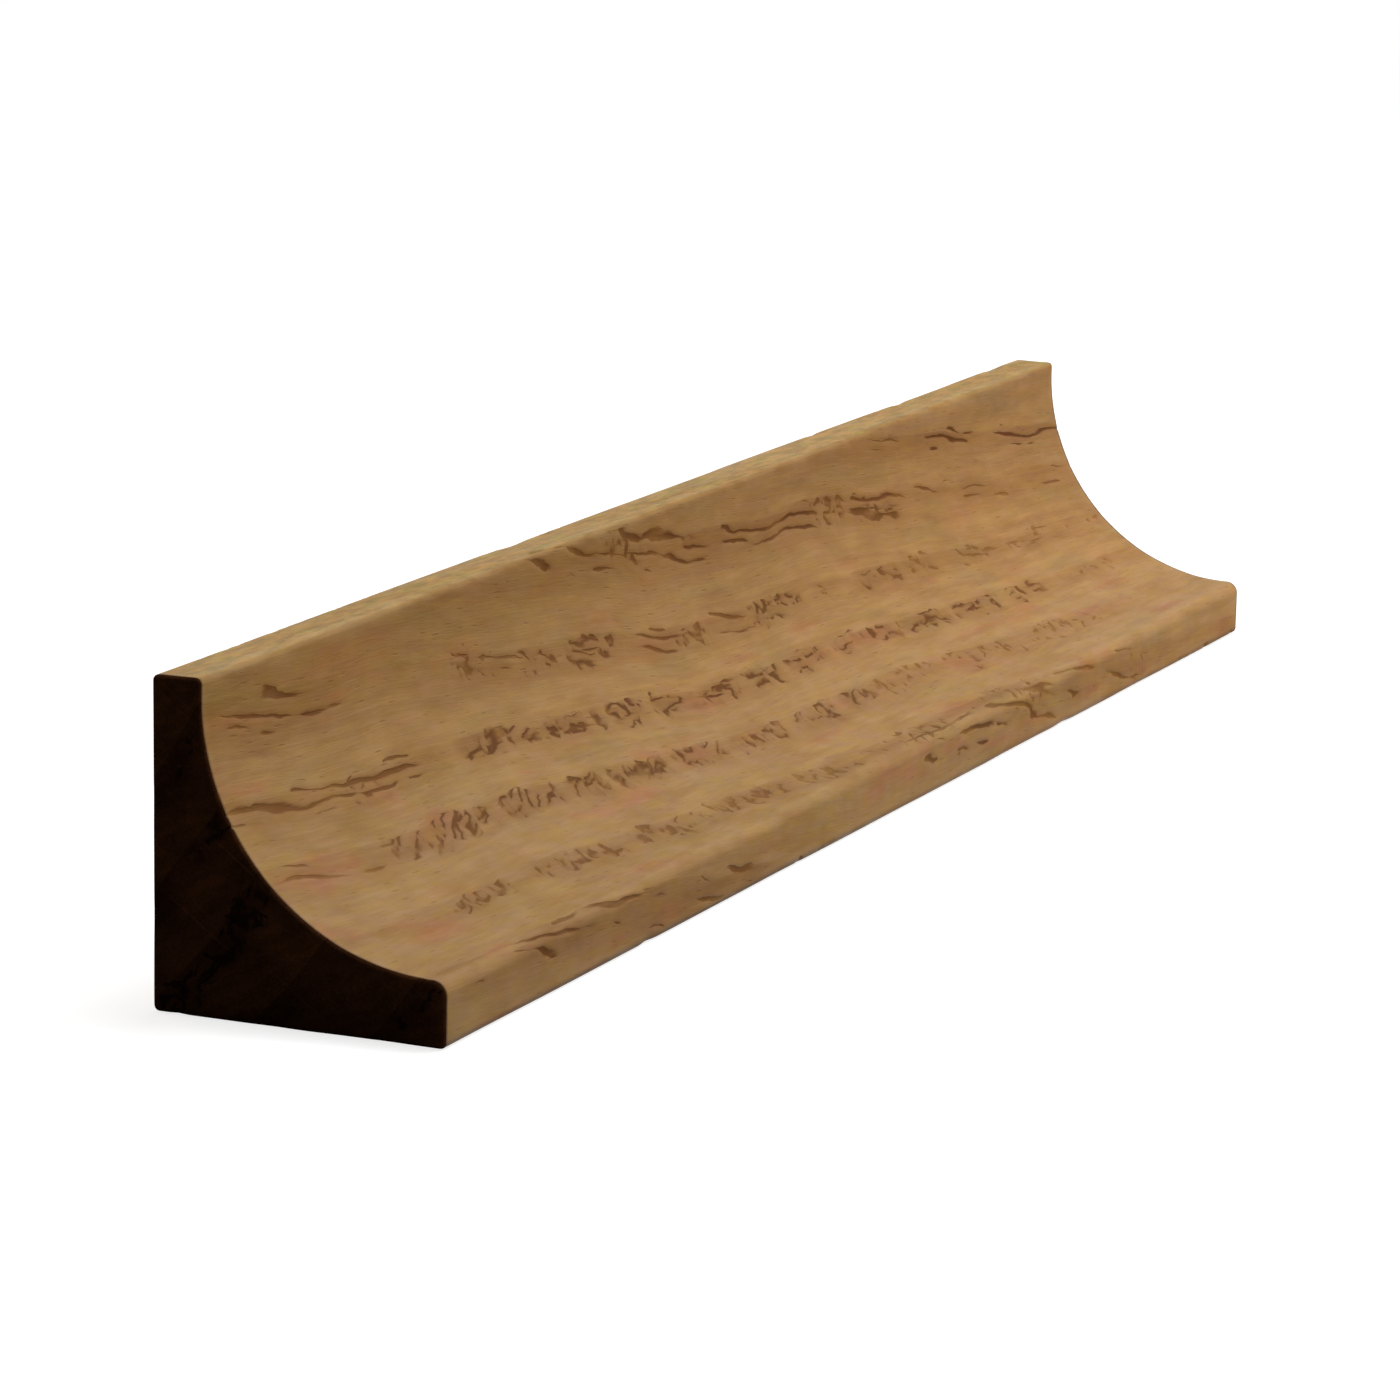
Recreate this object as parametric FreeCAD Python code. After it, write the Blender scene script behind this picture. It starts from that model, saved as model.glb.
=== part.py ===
"""Scotia moulding: a short machined length of oak that covers the corner between two surfaces.

The section starts as a rectangular blank. Its back stands against a wall or riser, its base lies on the
floor or under a tread, and one concave cut, the cove, takes the outer corner away. What the cutter leaves
of the blank is a narrow land on top and an upright lip in front. The cove is a quarter circle that runs
out straight at both ends, up to the land and forward to the lip. The long edges are eased as sanding
eases them, most of all where the cove meets the lip, and both sawn ends are eased lightly all round.

The frame: X runs along the grain, Y from the lip to the back, Z up. The origin is the centre of the base.
"""

import FreeCAD, Part
import os

# Driving dimensions, in millimetres.
length = 130.0          # one sawn end to the other
section_depth = 18.0    # back face to front of the lip
section_height = 19.0   # base to top land
top_land = 3.0          # flat that the cutter leaves on top, from the back face
front_lip = 3.8         # upright face that the cutter leaves in front, from the base
cove_radius = 14.2      # radius of the cutter that makes the cove
lip_easing = 0.85       # rounding where the cove meets the lip
land_easing = 0.35      # rounding where the cove meets the top land
square_easing = 0.35    # rounding of the blank's own square corners
end_easing = 0.25       # rounding of the outline of each sawn end
cutter_overrun = 5.0    # how far the cutter passes the blank on every open side

half_length = length / 2
back_y = section_depth / 2
lip_y = back_y - section_depth
cove_y = back_y - top_land
tolerance = 1e-6


def blank():
    """The planed rectangular stick, before the cove is cut."""
    corner = FreeCAD.Vector(-half_length, lip_y, 0)
    return Part.makeBox(length, section_depth, section_height, corner)


def cove_cutter():
    """What the moulding knife sweeps away: a square-sided channel whose inner corner is a quarter circle."""
    start_x = -half_length - cutter_overrun

    def at(y, z):
        return FreeCAD.Vector(start_x, y, z)

    centre = at(cove_y - cove_radius, front_lip + cove_radius)
    arc_top = at(cove_y, centre.z)
    arc_middle = centre + FreeCAD.Vector(0, 1, -1).normalize() * cove_radius
    arc_foot = at(centre.y, front_lip)
    outer_y = min(lip_y, arc_foot.y) - cutter_overrun
    upper_z = max(section_height, arc_top.z) + cutter_overrun
    outline = Part.Wire([
        Part.LineSegment(at(cove_y, upper_z), arc_top).toShape(),
        Part.Arc(arc_top, arc_middle, arc_foot).toShape(),
        Part.LineSegment(arc_foot, at(outer_y, front_lip)).toShape(),
        Part.LineSegment(at(outer_y, front_lip), at(outer_y, upper_z)).toShape(),
        Part.LineSegment(at(outer_y, upper_z), at(cove_y, upper_z)).toShape(),
    ])
    return Part.Face(outline).extrude(FreeCAD.Vector(length + 2 * cutter_overrun, 0, 0))


def long_edges(solid, wanted):
    """The straight edges along the whole length whose place in the section is wanted."""
    found = []
    for edge in solid.Edges:
        box = edge.BoundBox
        if box.XLength > length - tolerance and wanted(box.Center.y, box.Center.z):
            found.append(edge)
    return found


def on_lip(y, z):
    """True where the cove meets the upright lip."""
    return abs(y - lip_y) < tolerance and z > tolerance


def on_land(y, z):
    """True where the cove meets the top land."""
    return abs(z - section_height) < tolerance and y < back_y - tolerance


def on_blank_corner(y, z):
    """True at the three corners of the blank that the cutter leaves."""
    at_back = abs(y - back_y) < tolerance
    return at_back or (abs(y - lip_y) < tolerance and abs(z) < tolerance)


def end_outline(solid):
    """The edges round both sawn ends."""
    found = []
    for edge in solid.Edges:
        box = edge.BoundBox
        if box.XLength < tolerance and abs(abs(box.Center.x) - half_length) < tolerance:
            found.append(edge)
    return found


def scotia_moulding():
    """The finished stick: the blank less the cove, with its long edges and then its sawn ends eased."""
    stick = blank().cut(cove_cutter()).removeSplitter()
    for place, radius in ((on_lip, lip_easing), (on_land, land_easing), (on_blank_corner, square_easing)):
        stick = stick.makeFillet(radius, long_edges(stick, place))
    stick = stick.makeFillet(end_easing, end_outline(stick))
    return stick.Solids[0]


os.makedirs("parts", exist_ok=True)
moulding = scotia_moulding()
moulding.exportStep("parts/scotia_moulding.step")
size = moulding.optimalBoundingBox(False)
print("scotia_moulding valid", moulding.isValid(), "closed", moulding.isClosed())
print("size", round(size.XLength, 3), round(size.YLength, 3), round(size.ZLength, 3))
print("volume cm3", round(moulding.Volume / 1000, 3), "faces", len(moulding.Faces))
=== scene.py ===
# %% [markdown]
# # A short length of oak scotia
#
# Scotia is the hollow moulding that covers the corner between two surfaces, such as a floor and a skirting
# board, or a stair tread and its riser. This piece is one machined stick of oak. It has a flat back, a flat
# base, a narrow land on top, an upright lip in front, and between them the cove, a quarter circle that one
# cutter leaves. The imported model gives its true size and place. The scene keeps both, and adds what a plain
# solid lacks: growth rings, open pores, saw marks, worn edges and a thin satin oil.

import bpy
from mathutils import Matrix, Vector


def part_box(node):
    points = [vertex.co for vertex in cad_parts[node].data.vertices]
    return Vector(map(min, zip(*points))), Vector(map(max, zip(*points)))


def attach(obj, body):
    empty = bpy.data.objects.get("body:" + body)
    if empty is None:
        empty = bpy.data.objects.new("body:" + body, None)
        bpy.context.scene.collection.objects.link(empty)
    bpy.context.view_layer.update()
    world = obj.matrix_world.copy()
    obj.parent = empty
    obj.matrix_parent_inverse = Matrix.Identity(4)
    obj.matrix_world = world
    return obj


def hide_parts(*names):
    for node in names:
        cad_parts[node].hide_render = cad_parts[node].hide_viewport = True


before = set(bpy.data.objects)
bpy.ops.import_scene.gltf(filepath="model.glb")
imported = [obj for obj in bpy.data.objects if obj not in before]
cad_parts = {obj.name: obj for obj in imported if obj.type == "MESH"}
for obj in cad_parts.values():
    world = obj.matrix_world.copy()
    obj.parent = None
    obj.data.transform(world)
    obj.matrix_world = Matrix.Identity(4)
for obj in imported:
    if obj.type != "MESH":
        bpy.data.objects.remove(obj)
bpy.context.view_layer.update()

# %% [markdown]
# ## The section
#
# A moulding is its section, drawn along the length of the stick. It could be a curve with a bevel, but then
# the points fall where Blender puts them. Here the section is a list of points, close together on the faces
# that are seen most. Each point carries its outward direction, so that pores and worn edges can later be cut
# straight into the wood and never stand proud of it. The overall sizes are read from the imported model, and
# the rest are the sizes that the knives leave.

# %% Sizes of the section, in millimetres
import math

import numpy as np

millimetre = 0.001
moulding_low, moulding_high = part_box("scotia_moulding")
length, section_depth, section_height = [side / millimetre for side in moulding_high - moulding_low]
top_land = 3.0
front_lip = 3.8
cove_radius = 14.2
lip_easing = 0.85
land_easing = 0.35
square_easing = 0.35
end_easing = 0.25
half_length = length / 2
back_y = section_depth / 2
lip_y = -back_y
cove_y = back_y - top_land
cove_centre = np.array([cove_y - cove_radius, front_lip + cove_radius])
print(f"stick {length:.1f} x {section_depth:.1f} x {section_height:.1f} mm")


# %% Flats and rounds of the section
front_spacing = 0.165
hidden_spacing = 0.62
round_spacing = 0.1
lip_spacing = 0.12
fewest_on_round = 5


def along_flat(start, end, spacing=front_spacing):
    """Points from start up to, but without, end: each is y, z and its outward direction in y and z."""
    start = np.array(start, float)
    travel = np.array(end, float) - start
    reach = math.hypot(*travel)
    count = max(1, round(reach / spacing))
    share = np.arange(count)[:, None] / count
    outward = np.array([travel[1], -travel[0]]) / reach
    return np.hstack([start + share * travel, np.tile(outward, (count, 1))])


def along_round(centre, radius, start_angle, end_angle, spacing=round_spacing, hollow=False):
    """The same along an arc, from one angle in degrees to the other. A hollow arc faces its own centre."""
    sweep = math.radians(end_angle - start_angle)
    count = max(fewest_on_round, round(abs(sweep) * radius / spacing))
    angle = math.radians(start_angle) + sweep * np.arange(count) / count
    spoke = np.column_stack([np.cos(angle), np.sin(angle)])
    return np.hstack([centre + radius * spoke, -spoke if hollow else spoke])


quarter = along_round(cove_centre, cove_radius, -90, 0)
print("a quarter round of", cove_radius, "mm takes", len(quarter), "points")

# %% The whole outline, from the top back edge forwards, down and round
lip_centre_y = lip_y + lip_easing
lip_drop = math.sqrt((cove_radius + lip_easing) ** 2 - (lip_centre_y - cove_centre[0]) ** 2)
lip_centre = np.array([lip_centre_y, cove_centre[1] - lip_drop])
touch_angle = math.degrees(math.atan2(lip_drop, cove_centre[0] - lip_centre_y))
square = square_easing
front_parts = [
    along_flat((back_y - square, section_height), (cove_y + land_easing, section_height)),
    along_round((cove_y + land_easing, section_height - land_easing), land_easing, 90, 180),
    along_flat((cove_y, section_height - land_easing), (cove_y, cove_centre[1])),
    along_round(cove_centre, cove_radius, 0, touch_angle - 180, front_spacing, hollow=True),
    along_round(lip_centre, lip_easing, touch_angle, 180, lip_spacing),
    along_flat((lip_y, lip_centre[1]), (lip_y, square)),
]
hidden_parts = [
    along_round((lip_y + square, square), square, 180, 270),
    along_flat((lip_y + square, 0), (back_y - square, 0), hidden_spacing),
    along_round((back_y - square, square), square, 270, 360),
    along_flat((back_y, square), (back_y, section_height - square), hidden_spacing),
    along_round((back_y - square, section_height - square), square, 0, 90),
]
outline = np.vstack(front_parts + hidden_parts)
section, outward = outline[:, :2], outline[:, 2:]
front_count = sum(len(part) for part in front_parts)
step_round = np.hypot(*(np.roll(section, -1, 0) - section).T)
distance_round = np.concatenate([[0], np.cumsum(step_round)])
print(len(section), "points round the section,", round(distance_round[-1], 2), "mm of outline")

# %% [markdown]
# ## The skin along the length
#
# The stick is a grid: one ring of section points at each station along its length. At both ends the sawn
# edges are eased by a light rub with abrasive paper, so the last few rings draw in along the outward
# directions as a quarter circle does. Stations a third of a millimetre apart are close enough to hold the
# open pores, which are one to five millimetres long, and the whole piece stays under 200,000 triangles.

# %% Stations and the grid of points
station_spacing = 0.37
easing_angles = np.radians([90, 68, 45, 22])
middle_reach = half_length - end_easing
middle_count = round(2 * middle_reach / station_spacing)
middle_x = np.linspace(-middle_reach, middle_reach, middle_count + 1)
eased_x = middle_reach + end_easing * np.sin(easing_angles)
eased_in = end_easing * (1 - np.cos(easing_angles))
station_x = np.concatenate([-eased_x, middle_x, eased_x[::-1]])
station_in = np.concatenate([eased_in, np.zeros(middle_count + 1), eased_in[::-1]])
station_count, ring_count = len(station_x), len(section)
skin_yz = section[None] - station_in[:, None, None] * outward[None]
skin_x = np.repeat(station_x[:, None], ring_count, 1)
skin = np.concatenate([skin_x[..., None], skin_yz], 2).reshape(-1, 3)
skin_outward = np.tile(np.column_stack([np.zeros(ring_count), outward]), (station_count, 1))
print(station_count, "stations,", len(skin), "points in the skin")

# %% [markdown]
# ## The sawn ends
#
# A cross-cut saw leaves shallow arcs on end grain. One flat face could not carry them, so each end is filled
# with small triangles. A plain grid of points is kept where it lies inside the outline, and Blender's own
# triangulation joins the grid to the outline's points, so the stick stays closed.

# %% Fill an end with small triangles
from mathutils import Vector
from mathutils.geometry import delaunay_2d_cdt

cap_spacing = 0.21
cap_row_spacing = 0.87 * cap_spacing
cap_clearance = 0.6 * cap_spacing
fill_inside = 1
same_point = 1e-6
cap_outline = section - end_easing * outward
cap_rows = np.arange(0, section_height, cap_row_spacing)
cap_columns = np.arange(lip_y, back_y, cap_spacing)
cap_y, cap_z = np.meshgrid(cap_columns, cap_rows)
cap_y[1::2] += cap_spacing / 2
cap_grid = np.column_stack([cap_y.ravel(), cap_z.ravel()])


def depth_inside(points):
    """How far each point of an end lies inside the end's outline, in millimetres."""
    gap = points[:, None] - cap_outline[None]
    nearest = np.argmin((gap ** 2).sum(2), 1)
    return -(gap[np.arange(len(points)), nearest] * outward[nearest]).sum(1)


cap_inner = cap_grid[depth_inside(cap_grid) > cap_clearance]
cap_points = np.vstack([cap_outline, cap_inner])
cap_edges = [(j, (j + 1) % ring_count) for j in range(ring_count)]
filled = delaunay_2d_cdt([Vector(point) for point in cap_points], cap_edges, [], fill_inside, same_point)
cap_faces = np.array([face[:] for face in filled[2]])
print(len(cap_inner), "points inside an end,", len(cap_faces), "triangles,",
      "unchanged" if len(filled[0]) == len(cap_points) else "changed")

# %% Join the skin and the two ends
faces_up = (0.6, 0.95)
inner_count = len(cap_inner)
end_outward = np.repeat([[-1.0, 0, 0], [1.0, 0, 0]], inner_count, 0)
end_points = np.hstack([half_length * end_outward[:, :1], np.tile(cap_inner, (2, 1))])
points = np.vstack([skin, end_points])
point_outward = np.vstack([skin_outward, end_outward])
left_rough = np.interp(point_outward[:, 2], faces_up, (0, 1)) * (points[:, 2] > section_height / 2)
i, j = np.meshgrid(np.arange(station_count - 1), np.arange(ring_count), indexing="ij")
i, j = i.ravel(), j.ravel()
j_next = (j + 1) % ring_count
quads = np.column_stack([i * ring_count + j, i * ring_count + j_next,
                         (i + 1) * ring_count + j_next, (i + 1) * ring_count + j])


def end_triangles(outline_start, inner_start, towards):
    """The fill's triangles, numbered for one end and turned so that they face along x as towards says."""
    number = np.concatenate([outline_start + np.arange(ring_count), inner_start + np.arange(inner_count)])
    a, b, c = (cap_points[cap_faces[:, k]] for k in range(3))
    turn = (b - a)[:, 0] * (c - a)[:, 1] - (b - a)[:, 1] * (c - a)[:, 0]
    faces = np.where((turn * towards > 0)[:, None], cap_faces, cap_faces[:, ::-1])
    return number[faces]


near_faces = end_triangles(0, len(skin), -1)
far_faces = end_triangles((station_count - 1) * ring_count, len(skin) + inner_count, 1)
print(2 * len(quads) + len(near_faces) + len(far_faces), "triangles in the stick")

# %% [markdown]
# ## Where the stick was in the tree
#
# All the grain of a stick follows from where it was cut from the log. Each point gets three measures: how far
# along the fibres it is, how far out from the heart of the tree, and how far round the ring. With them the
# same rings and pores run through the face, the back and the sawn ends, as in real wood. In the photograph
# the rows of pores drift slowly from the land towards the lip, so the rings get the same drift. Measures like
# these could be worked out in the material, but as named attributes of the mesh they serve the cutting of
# the pores as well.


# %% A gentle random wave
wave_count = 14
wave_height = 3.6


def slow_wave(places, stretch, seed):
    """A smooth value, mostly from -1 to 1. Stretch is about how far it takes to change along each axis."""
    dice = np.random.default_rng(seed)
    waves = dice.normal(size=(wave_count, 3)) / np.array(stretch)
    starts = dice.uniform(0, 2 * math.pi, wave_count)
    return np.sin(places @ waves.T + starts).sum(1) / wave_height


print("the wave at three places:", slow_wave(np.eye(3), (6, 3, 3), 12).round(2))

# %% Rings, fibres and the way round the tree
ring_width = 4.4
ring_lean = np.array([-0.811, -0.586])
ring_starts = [-25.9, -21.6, -17.2, -14.9, -10.6, -6.6, -2.45, 2.75, 8.1, 12.8, 17.2]
heart_distance = 80.0
heart_side = -7.0
drift_stations = [0, 5, 20, 33, 45, 57, 70, 83, 95, 108, 122, 130]
ring_drift = [-4.3, -4.1, -3.5, -2.6, -1.5, 0.0, 0.45, 0.85, 1.8, 2.6, 3.5, 4.0]
drift_round = 0.6
wobbles = [(0.22, (14, 6, 6), 3), (0.08, (3.5, 2.5, 2.5), 4)]


def place_in_tree(at):
    """For each point: along the fibres, out through the rings and round the tree, in millimetres."""
    out = at[:, 1] * ring_lean[0] + at[:, 2] * ring_lean[1]
    round_tree = -at[:, 1] * ring_lean[1] + at[:, 2] * ring_lean[0]
    out = np.hypot(heart_distance + out, round_tree - heart_side) - heart_distance
    drift = np.interp(at[:, 0] + half_length, drift_stations, ring_drift)
    out = out - drift
    round_tree = round_tree - drift_round * drift
    for size, stretch, seed in wobbles:
        out = out + size * slow_wave(at, stretch, seed)
    rings = np.interp(out, ring_starts, ring_width * np.arange(len(ring_starts)))
    return np.column_stack([at[:, 0], rings, round_tree])


tree_place = place_in_tree(points)
print("rings through the stick:", round(np.ptp(tree_place[:, 1]) / ring_width, 1))

# %% [markdown]
# ## Where the pores show
#
# Oak is ring-porous: each spring the tree grows a band of wide vessels, and the planer cuts them open. Oil,
# dust and the angle of the cut fill some of them, so a row comes and goes along the stick. Where the cut runs
# almost along a ring the marks are long streaks, and where it crosses the ring they are short strokes. On the
# front the stretches that show were read from the photograph, ring by ring, in millimetres from the
# near end, each with how dark it is. On the lip the streaks lie lower in their ring than the strokes do. On
# the back, the base and the ends a slow wave decides.

# %% Stretches of open pores on the front, ring by ring
long_stretches = {
    2: [(86, 89, 0.4), (94, 99, 0.6), (104, 114, 0.85), (117, 130, 0.9)],
    3: [(35, 40, 0.5), (40, 46, 0.75), (46, 60, 0.62), (60, 78, 0.8), (78, 85, 0.9), (89, 99, 0.75),
        (101, 107, 0.55), (108, 117, 0.5), (122, 129, 0.5)],
    4: [(3, 15, 0.6), (28, 38, 0.5), (41, 50, 0.3), (53, 70, 0.65), (103, 110, 0.4), (112, 120, 0.35)],
    5: [(0, 12, 0.65), (11, 23, 0.7), (36, 43, 0.4), (57, 62, 0.5), (118, 125, 0.4)],
    6: [(0, 7, 0.5), (9, 14, 0.5)],
    7: [(4, 9, 0.4), (68, 75, 0.75), (76, 86, 0.95), (86, 92, 0.7), (93, 99, 0.6), (103, 110, 0.45)],
    8: [(-3, 8, 0.3), (10, 30, 0.8), (28, 46, 0.6), (50, 58, 0.4)],
}
short_stretches = {
    3: [(52, 57, 0.3), (84, 89, 0.6), (90, 97, 0.35)],
    4: [(30, 35, 0.5), (38, 43, 0.7), (44, 51, 0.75), (58, 63, 0.65), (70, 78, 0.85), (81, 84, 0.3),
        (87, 94, 0.7), (95, 100, 0.45), (103, 108, 0.45), (112, 119, 0.3), (123, 129, 0.35)],
    5: [(13, 17, 0.5), (27, 32, 0.95), (32.5, 36, 0.9), (37, 42.5, 0.9), (43.2, 44.5, 0.8), (45.5, 50, 1.0),
        (51, 56.5, 1.0), (57.5, 62, 0.9), (64, 69, 1.0), (70, 76, 1.0), (77.5, 80, 1.0), (80.5, 87, 0.85),
        (88, 95.5, 0.9), (96.5, 103.5, 0.9), (106, 111, 0.7), (118, 124, 0.3)],
    6: [(13.5, 17.5, 0.8), (18, 25.5, 0.9), (27, 33.5, 1.0), (35, 38.5, 0.95), (40, 46.5, 0.95),
        (48, 53.5, 0.9), (54, 62, 0.8), (64, 70, 0.9), (71, 75.5, 0.9), (77, 86, 0.5), (88, 98, 0.5),
        (100, 111, 0.4)],
    7: [(12, 19, 0.7), (22, 32, 0.7), (33, 42, 0.6), (43, 53, 0.55), (54, 61, 0.45), (63, 75, 0.4),
        (82, 90, 0.35), (105, 110, 0.3)],
}
print("rings with open pores:", *sorted(long_stretches | short_stretches))


# %% Spread the stretches over the points
def showing_on_front(stretches_of_ring, fade):
    """How openly the pores show at each point by the stretches of its ring, from 0 to 1."""
    shown = np.zeros(len(points))
    for number, stretches in stretches_of_ring.items():
        for start, end, strength in stretches:
            rise = np.clip((from_near_end - start) / fade + 0.5, 0, 1)
            fall = np.clip((end - from_near_end) / fade + 0.5, 0, 1)
            shown = np.maximum(shown, np.where(ring_number == number, strength * rise * fall, 0))
    return shown


def showing_by_wave(usual, stretch, seed):
    """The same where a slow wave decides. Each ring has a wave of its own."""
    return np.clip(usual + wave_swing * slow_wave(ring_places, stretch, seed), 0, 1)


band_middle = 0.15 * ring_width
rings_apart = 40
wave_swing = 0.5
long_fade = 4.0
short_fade = 1.2
lip_ring = 7
lower_by = 0.17
lower_from = 55
lower_until = (88, 96)
shown_on_land = 0.4
open_enough = 0.3

ring_number = np.round((tree_place[:, 1] - band_middle) / ring_width)
ring_places = np.column_stack([points[:, 0], rings_apart * ring_number, points[:, 2]])
on_front = np.concatenate([np.tile(np.arange(ring_count) < front_count, station_count),
                           np.zeros(2 * inner_count, bool)])
from_near_end = points[:, 0] + half_length
long_on_front = showing_on_front(long_stretches, long_fade)
short_on_front = showing_on_front(short_stretches, short_fade)
long_showing = np.where(on_front, long_on_front, showing_by_wave(0.2, (12, 1, 6), 9))
short_showing = np.where(on_front, short_on_front, showing_by_wave(0.4, (9, 1, 6), 8))
on_lip_ring = (ring_number == lip_ring) & (from_near_end > lower_from)
streaks_lower = lower_by * on_lip_ring * np.interp(from_near_end, lower_until, (1, 0))
pores_showing = np.column_stack([long_showing, short_showing, streaks_lower])
on_rough_land = on_front & (left_rough > 0)
pores_showing[on_rough_land] *= shown_on_land
open_on_front = pores_showing[on_front].max(1) > open_enough
print("share of the front with open pores:", round(float(open_on_front.mean()), 2))

# %% [markdown]
# ## Worn edges
#
# Hands, packing and other mouldings wear the arrises first: they get rounder in places and pick up small
# dents. Each point learns how near it is to an edge. The wear is cut into the wood with one slow wave and a
# few dents, none deeper than an eighth of a millimetre, so the stick keeps its size.

# %% Nearness to an edge, and the wear that goes with it
edge_reach = 0.7
dent_count = 26
dent_reach = (0.35, 1.1)
dent_length = 1.6
dent_depth = (0.04, 0.12)
dent_seed = 21
edge_wear = 0.035
sharpest = [(cove_y, section_height), (lip_y, front_lip), (lip_y, 0), (back_y, 0), (back_y, section_height)]
to_long_edge = np.min([np.hypot(points[:, 1] - y, points[:, 2] - z) for y, z in sharpest], 0)
cap_depth = np.tile(depth_inside(cap_inner), 2) + end_easing
to_end_edge = np.concatenate([half_length - np.abs(skin[:, 0]), cap_depth])
to_edge = np.minimum(to_long_edge, to_end_edge)
edge_nearness = np.exp(-(to_edge / edge_reach) ** 2)
dice = np.random.default_rng(dent_seed)
dents = np.zeros(len(points))
for _ in range(dent_count):
    y, z = sharpest[dice.integers(len(sharpest))]
    along = dice.uniform(-half_length, half_length)
    reach = dice.uniform(*dent_reach)
    from_dent = (points - [along, y, z]) / [dent_length * reach, reach, reach]
    away = (from_dent ** 2).sum(1)
    dents = np.maximum(dents, dice.uniform(*dent_depth) * np.exp(-away))
worn_here = np.clip(slow_wave(points, (6, 3, 3), 12), 0, 1)
wear_depth = dents + edge_wear * edge_nearness * worn_here
print("deepest wear", round(float(wear_depth.max()), 3), "mm")

# %% [markdown]
# ## The mesh and its flat pattern
#
# Now the points become a Blender mesh. The measures go in as named attributes, which the modifier and the
# materials read by name. A flat pattern, the UV map, lays the stick out as a veneer would be peeled from it:
# the skin is one strip along the length and the two ends lie beside it. Nothing overlaps, so the finish can
# be baked into a picture when the model leaves Blender.

# %% Make the mesh
import bpy

oak_mesh = bpy.data.meshes.new("oak_stick")
all_faces = quads.tolist() + near_faces.tolist() + far_faces.tolist()
oak_mesh.from_pydata((points * millimetre).tolist(), [], all_faces)
oak_stick = bpy.data.objects.new("oak_stick", oak_mesh)
bpy.context.scene.collection.objects.link(oak_stick)
oak_mesh.shade_smooth()
measures = {
    "place_in_tree": tree_place,
    "pores_showing": pores_showing,
    "edge_nearness": edge_nearness,
    "wear_depth": wear_depth,
    "left_rough": left_rough,
    "outward": point_outward,
    "sawn_depth": np.concatenate([np.zeros(len(skin)), cap_depth]),
}
for name, values in measures.items():
    kind, slot = ("FLOAT_VECTOR", "vector") if values.ndim == 2 else ("FLOAT", "value")
    attribute = oak_mesh.attributes.new(name, kind, "POINT")
    attribute.data.foreach_set(slot, values.astype(np.float32).ravel())
print(len(oak_mesh.vertices), "points and", len(oak_mesh.polygons), "faces")

# %% Lay out the flat pattern
strip_height = 0.55
end_height = 0.39
margin = 0.01
station_step = np.hypot(np.diff(station_x), np.diff(station_in))
along_strip = margin + (1 - 2 * margin) * np.concatenate([[0], np.cumsum(station_step)]) / station_step.sum()
up_strip = margin + strip_height * distance_round / distance_round[-1]
quad_corners = ((0, 0), (0, 1), (1, 1), (1, 0))
quad_pattern = np.stack([np.column_stack([along_strip[i + a], up_strip[j + b]]) for a, b in quad_corners], 1)
end_scale = end_height / section_height
far_end_left = 0.5 + margin


def end_pattern(faces, left):
    """The flat pattern of a sawn end: its own y and z, set beside the strip."""
    at = points[faces.ravel(), 1:]
    return np.column_stack([left + (at[:, 0] - lip_y) * end_scale,
                            strip_height + 3 * margin + at[:, 1] * end_scale])


flat_pattern = oak_mesh.uv_layers.new(name="OFBake")
pattern = np.vstack([quad_pattern.reshape(-1, 2), end_pattern(near_faces, margin),
                     end_pattern(far_faces, far_end_left)])
flat_pattern.data.foreach_set("uv", pattern.astype(np.float32).ravel())
print("flat pattern from", pattern.min(0).round(3), "to", pattern.max(0).round(3))

# %% [markdown]
# ## A recipe for nodes
#
# The pores are cut by a modifier and coloured by a material, and the two have to agree, or a dark mark would
# lie beside its hollow. Geometry nodes and shader nodes share the same texture and maths nodes, so one recipe
# can write both. This small helper adds nodes to whichever tree it is given.


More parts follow.
